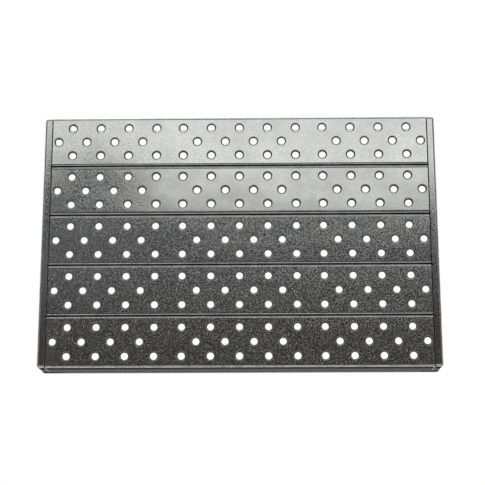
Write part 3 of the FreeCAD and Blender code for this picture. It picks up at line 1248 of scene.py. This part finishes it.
# Tones of the studio at angles of lean, in degrees, from straight up towards the back.
STUDIO_BANDS = (
    (-90, (0.08, 0.08, 0.08)),
    (-66, (0.06, 0.06, 0.06)),
    (-57, (0.68, 0.68, 0.68)),
    (-26, (0.68, 0.68, 0.68)),
    (-18, (0.05, 0.05, 0.05)),
    (0, (0.05, 0.05, 0.05)),
    (8.8, (0.070, 0.058, 0.050)),
    (10.0, (0.070, 0.064, 0.058)),
    (11.6, (0.066, 0.067, 0.069)),
    (12.6, (0.095, 0.095, 0.095)),
    (15.45, (0.095, 0.095, 0.095)),
    (15.85, (1.10, 1.10, 1.05)),
    (18.2, (1.14, 1.14, 1.09)),
    (19.2, (1.26, 1.26, 1.20)),
    (23.2, (1.26, 1.26, 1.20)),
    (25, (0.14, 0.14, 0.14)),
    (42, (0.16, 0.16, 0.16)),
    (50, (0.65, 0.65, 0.65)),
    (86, (0.65, 0.65, 0.65)),
    (90, (0.5, 0.5, 0.5)),
)
# How far towards the left, as X over Z, the edge of the bright band is cut back, and how strongly.
KEY_CUT = ((0.0, 0.0), (0.0817, 0.0), (0.13, 1.0), (0.16, 1.0), (0.178, 0.62))
KEY_CUT_REACH = 0.2
KEY_CUT_DEPTH = 0.075
KEY_CUT_BAND = (math.radians(14.4), math.radians(15.8))
# Extra light over the cut, at angles of lean in degrees.
FILL_BANDS = ((12.2, 0.0), (12.9, 1.2), (14.5, 1.2), (15.2, 0.0))
# Tones of the walls at both sides, and where they take over from the bands.
WALL_TONES = ((0.0, 0.22), (0.9, 0.22), (0.98, 0.05))
WALL_BLEND = (0.45, 0.6)


def bands_ramp(graph, lean, stops):
    """Colour ramp over the angle of lean, from stops as (degrees, colour)."""
    along = graph.scaled(lean, 1 / math.pi, 0.5)
    return colour_ramp(graph, along, [(angle / 180 + 0.5, tone) for angle, tone in stops])


def studio_world():
    """A white backdrop to the camera, and soft bands of studio light across the deck to the steel."""
    world = bpy.data.worlds.new("studio")
    world.use_nodes = True
    world.node_tree.nodes.clear()
    graph = Graph(world.node_tree)
    x, y, z = graph.split(graph.add("ShaderNodeTexCoord").outputs["Generated"])
    lean = graph.math("ARCTAN2", y, z)
    sideways = graph.math("DIVIDE", x, graph.math("MAXIMUM", z, 0.05))
    left = graph.times(sideways, -1 / KEY_CUT_REACH)
    cut = colour_ramp(graph, left, greys((place / KEY_CUT_REACH, depth) for place, depth in KEY_CUT))
    gain = graph.scaled(bands_ramp(graph, lean, greys(FILL_BANDS)), cut, 1.0)
    lean = graph.minus(lean, graph.times(cut, graph.remap(lean, *KEY_CUT_BAND, 0.0, KEY_CUT_DEPTH)))
    bands = bands_ramp(graph, lean, STUDIO_BANDS)
    side = graph.size(x)
    walls = colour_ramp(graph, side, greys(WALL_TONES))
    tone = graph.mix(graph.remap(side, *WALL_BLEND), bands, walls)
    lit = graph.add("ShaderNodeBackground", {"Color": tone, "Strength": gain})
    seen = graph.add("ShaderNodeBackground", {"Color": opaque(WHITE), "Strength": 1.0})
    output = graph.add("ShaderNodeOutputWorld")
    graph.join(seen_or_lit(graph, seen, lit), output.inputs["Surface"])
    bpy.context.scene.world = world


class SCAFFOLD_OT_stage(bpy.types.Operator):
    """Set the floor, the lights and the camera"""

    bl_idname = "scaffold.stage"
    bl_label = "Stage"

    def execute(self, context):
        stage = settings("scaffold_stage")
        bm = bmesh.new()
        bmesh.ops.create_grid(bm, x_segments=1, y_segments=1, size=FLOOR_SIZE)
        floor = object_from(mesh_from(bm, "floor"), "floor")
        floor.location.z = -FLOOR_GAP
        paint(floor, floor_material(stage))
        studio_world()
        camera = bpy.data.objects.new("camera", bpy.data.cameras.new("camera"))
        camera.data.lens = stage.lens
        camera.location = stage.eye
        camera.rotation_euler = stage.gaze
        bpy.context.scene.collection.objects.link(camera)
        bpy.context.scene.camera = camera
        bpy.context.scene.view_settings.view_transform = "Standard"
        return {"FINISHED"}


# --------------------------------------------------------------------- panel


class SCAFFOLD_PT_panel(bpy.types.Panel):
    """Sizes, finish and pieces of the scaffold plank"""

    bl_idname = "SCAFFOLD_PT_panel"
    bl_label = "Scaffold plank"
    bl_space_type = "VIEW_3D"
    bl_region_type = "UI"
    bl_category = "Scaffold"

    def draw(self, context):
        for name, kind in SETTINGS.items():
            box = self.layout.box()
            box.label(text=kind.__doc__)
            for label in kind.__annotations__:
                box.prop(getattr(context.scene, name), label)
        for operator in OPERATORS:
            self.layout.operator(operator.bl_idname)


SETTINGS = {
    "scaffold_sheets": ScaffoldSheetSizes,
    "scaffold_holes": ScaffoldHoleSizes,
    "scaffold_welds": ScaffoldWeldSizes,
    "scaffold_finish": ScaffoldFinish,
    "scaffold_stage": ScaffoldStage,
}
OPERATORS = (
    SCAFFOLD_OT_planks,
    SCAFFOLD_OT_ribs,
    SCAFFOLD_OT_bearers,
    SCAFFOLD_OT_caps,
    SCAFFOLD_OT_welds,
    SCAFFOLD_OT_stage,
)


def register():
    for kind in (*SETTINGS.values(), *OPERATORS, SCAFFOLD_PT_panel):
        bpy.utils.register_class(kind)
    for name, kind in SETTINGS.items():
        setattr(bpy.types.Scene, name, PointerProperty(type=kind))


def unregister():
    for name in SETTINGS:
        delattr(bpy.types.Scene, name)
    for kind in (SCAFFOLD_PT_panel, *reversed(OPERATORS), *reversed(SETTINGS.values())):
        bpy.utils.unregister_class(kind)


def main():
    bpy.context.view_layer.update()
    register()
    bpy.ops.scaffold.planks()
    bpy.ops.scaffold.ribs()
    bpy.ops.scaffold.bearers()
    bpy.ops.scaffold.caps()
    bpy.ops.scaffold.welds()
    bpy.ops.scaffold.stage()


if __name__ == "__main__":
    main()
